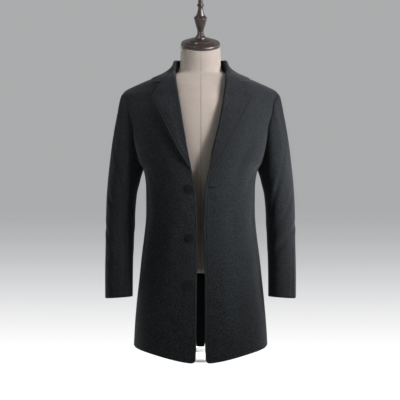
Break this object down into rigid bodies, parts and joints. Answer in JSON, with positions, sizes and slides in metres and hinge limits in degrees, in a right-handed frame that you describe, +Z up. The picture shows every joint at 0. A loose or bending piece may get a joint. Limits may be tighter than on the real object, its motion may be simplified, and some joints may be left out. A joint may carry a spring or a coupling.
{
  "type": "overcoat on a limbless dress form",
  "caption": "Single-breasted wool overcoat with notch lapels, worn open on a limbless dress form with a turned wooden neck cap and finial",
  "frame": {"origin": "centre of the underside of the dress form's round foot, on the floor", "axes": "+Z up along the form, -Y the way the coat faces, +X the wearer's left"},
  "size_m": [0.5732, 0.3341, 1.0708],
  "materials": {
    "wool": "charcoal melange wool, felted, soft sheen",
    "horn": "black horn, semi-gloss",
    "linen": "cream cloth cover, matt",
    "wood": "turned, dark stained, satin",
    "steel": "white painted, satin",
    "post_paint": "black painted, satin"
  },
  "bodies": {
    "root": {"front_right": "wool", "front_left": "wool", "back_right": "wool", "back_left": "wool", "sleeve_top_right": "wool", "sleeve_top_left": "wool", "sleeve_under_right": "wool", "sleeve_under_left": "wool", "lapel_right": "wool", "lapel_left": "wool", "collar": "wool", "button_top": "horn", "button_middle": "horn", "button_bottom": "horn", "form_torso": "linen", "form_cap": "wood", "form_finial": "wood", "form_base": "steel", "form_post": "post_paint"}
  },
  "joints": []
}
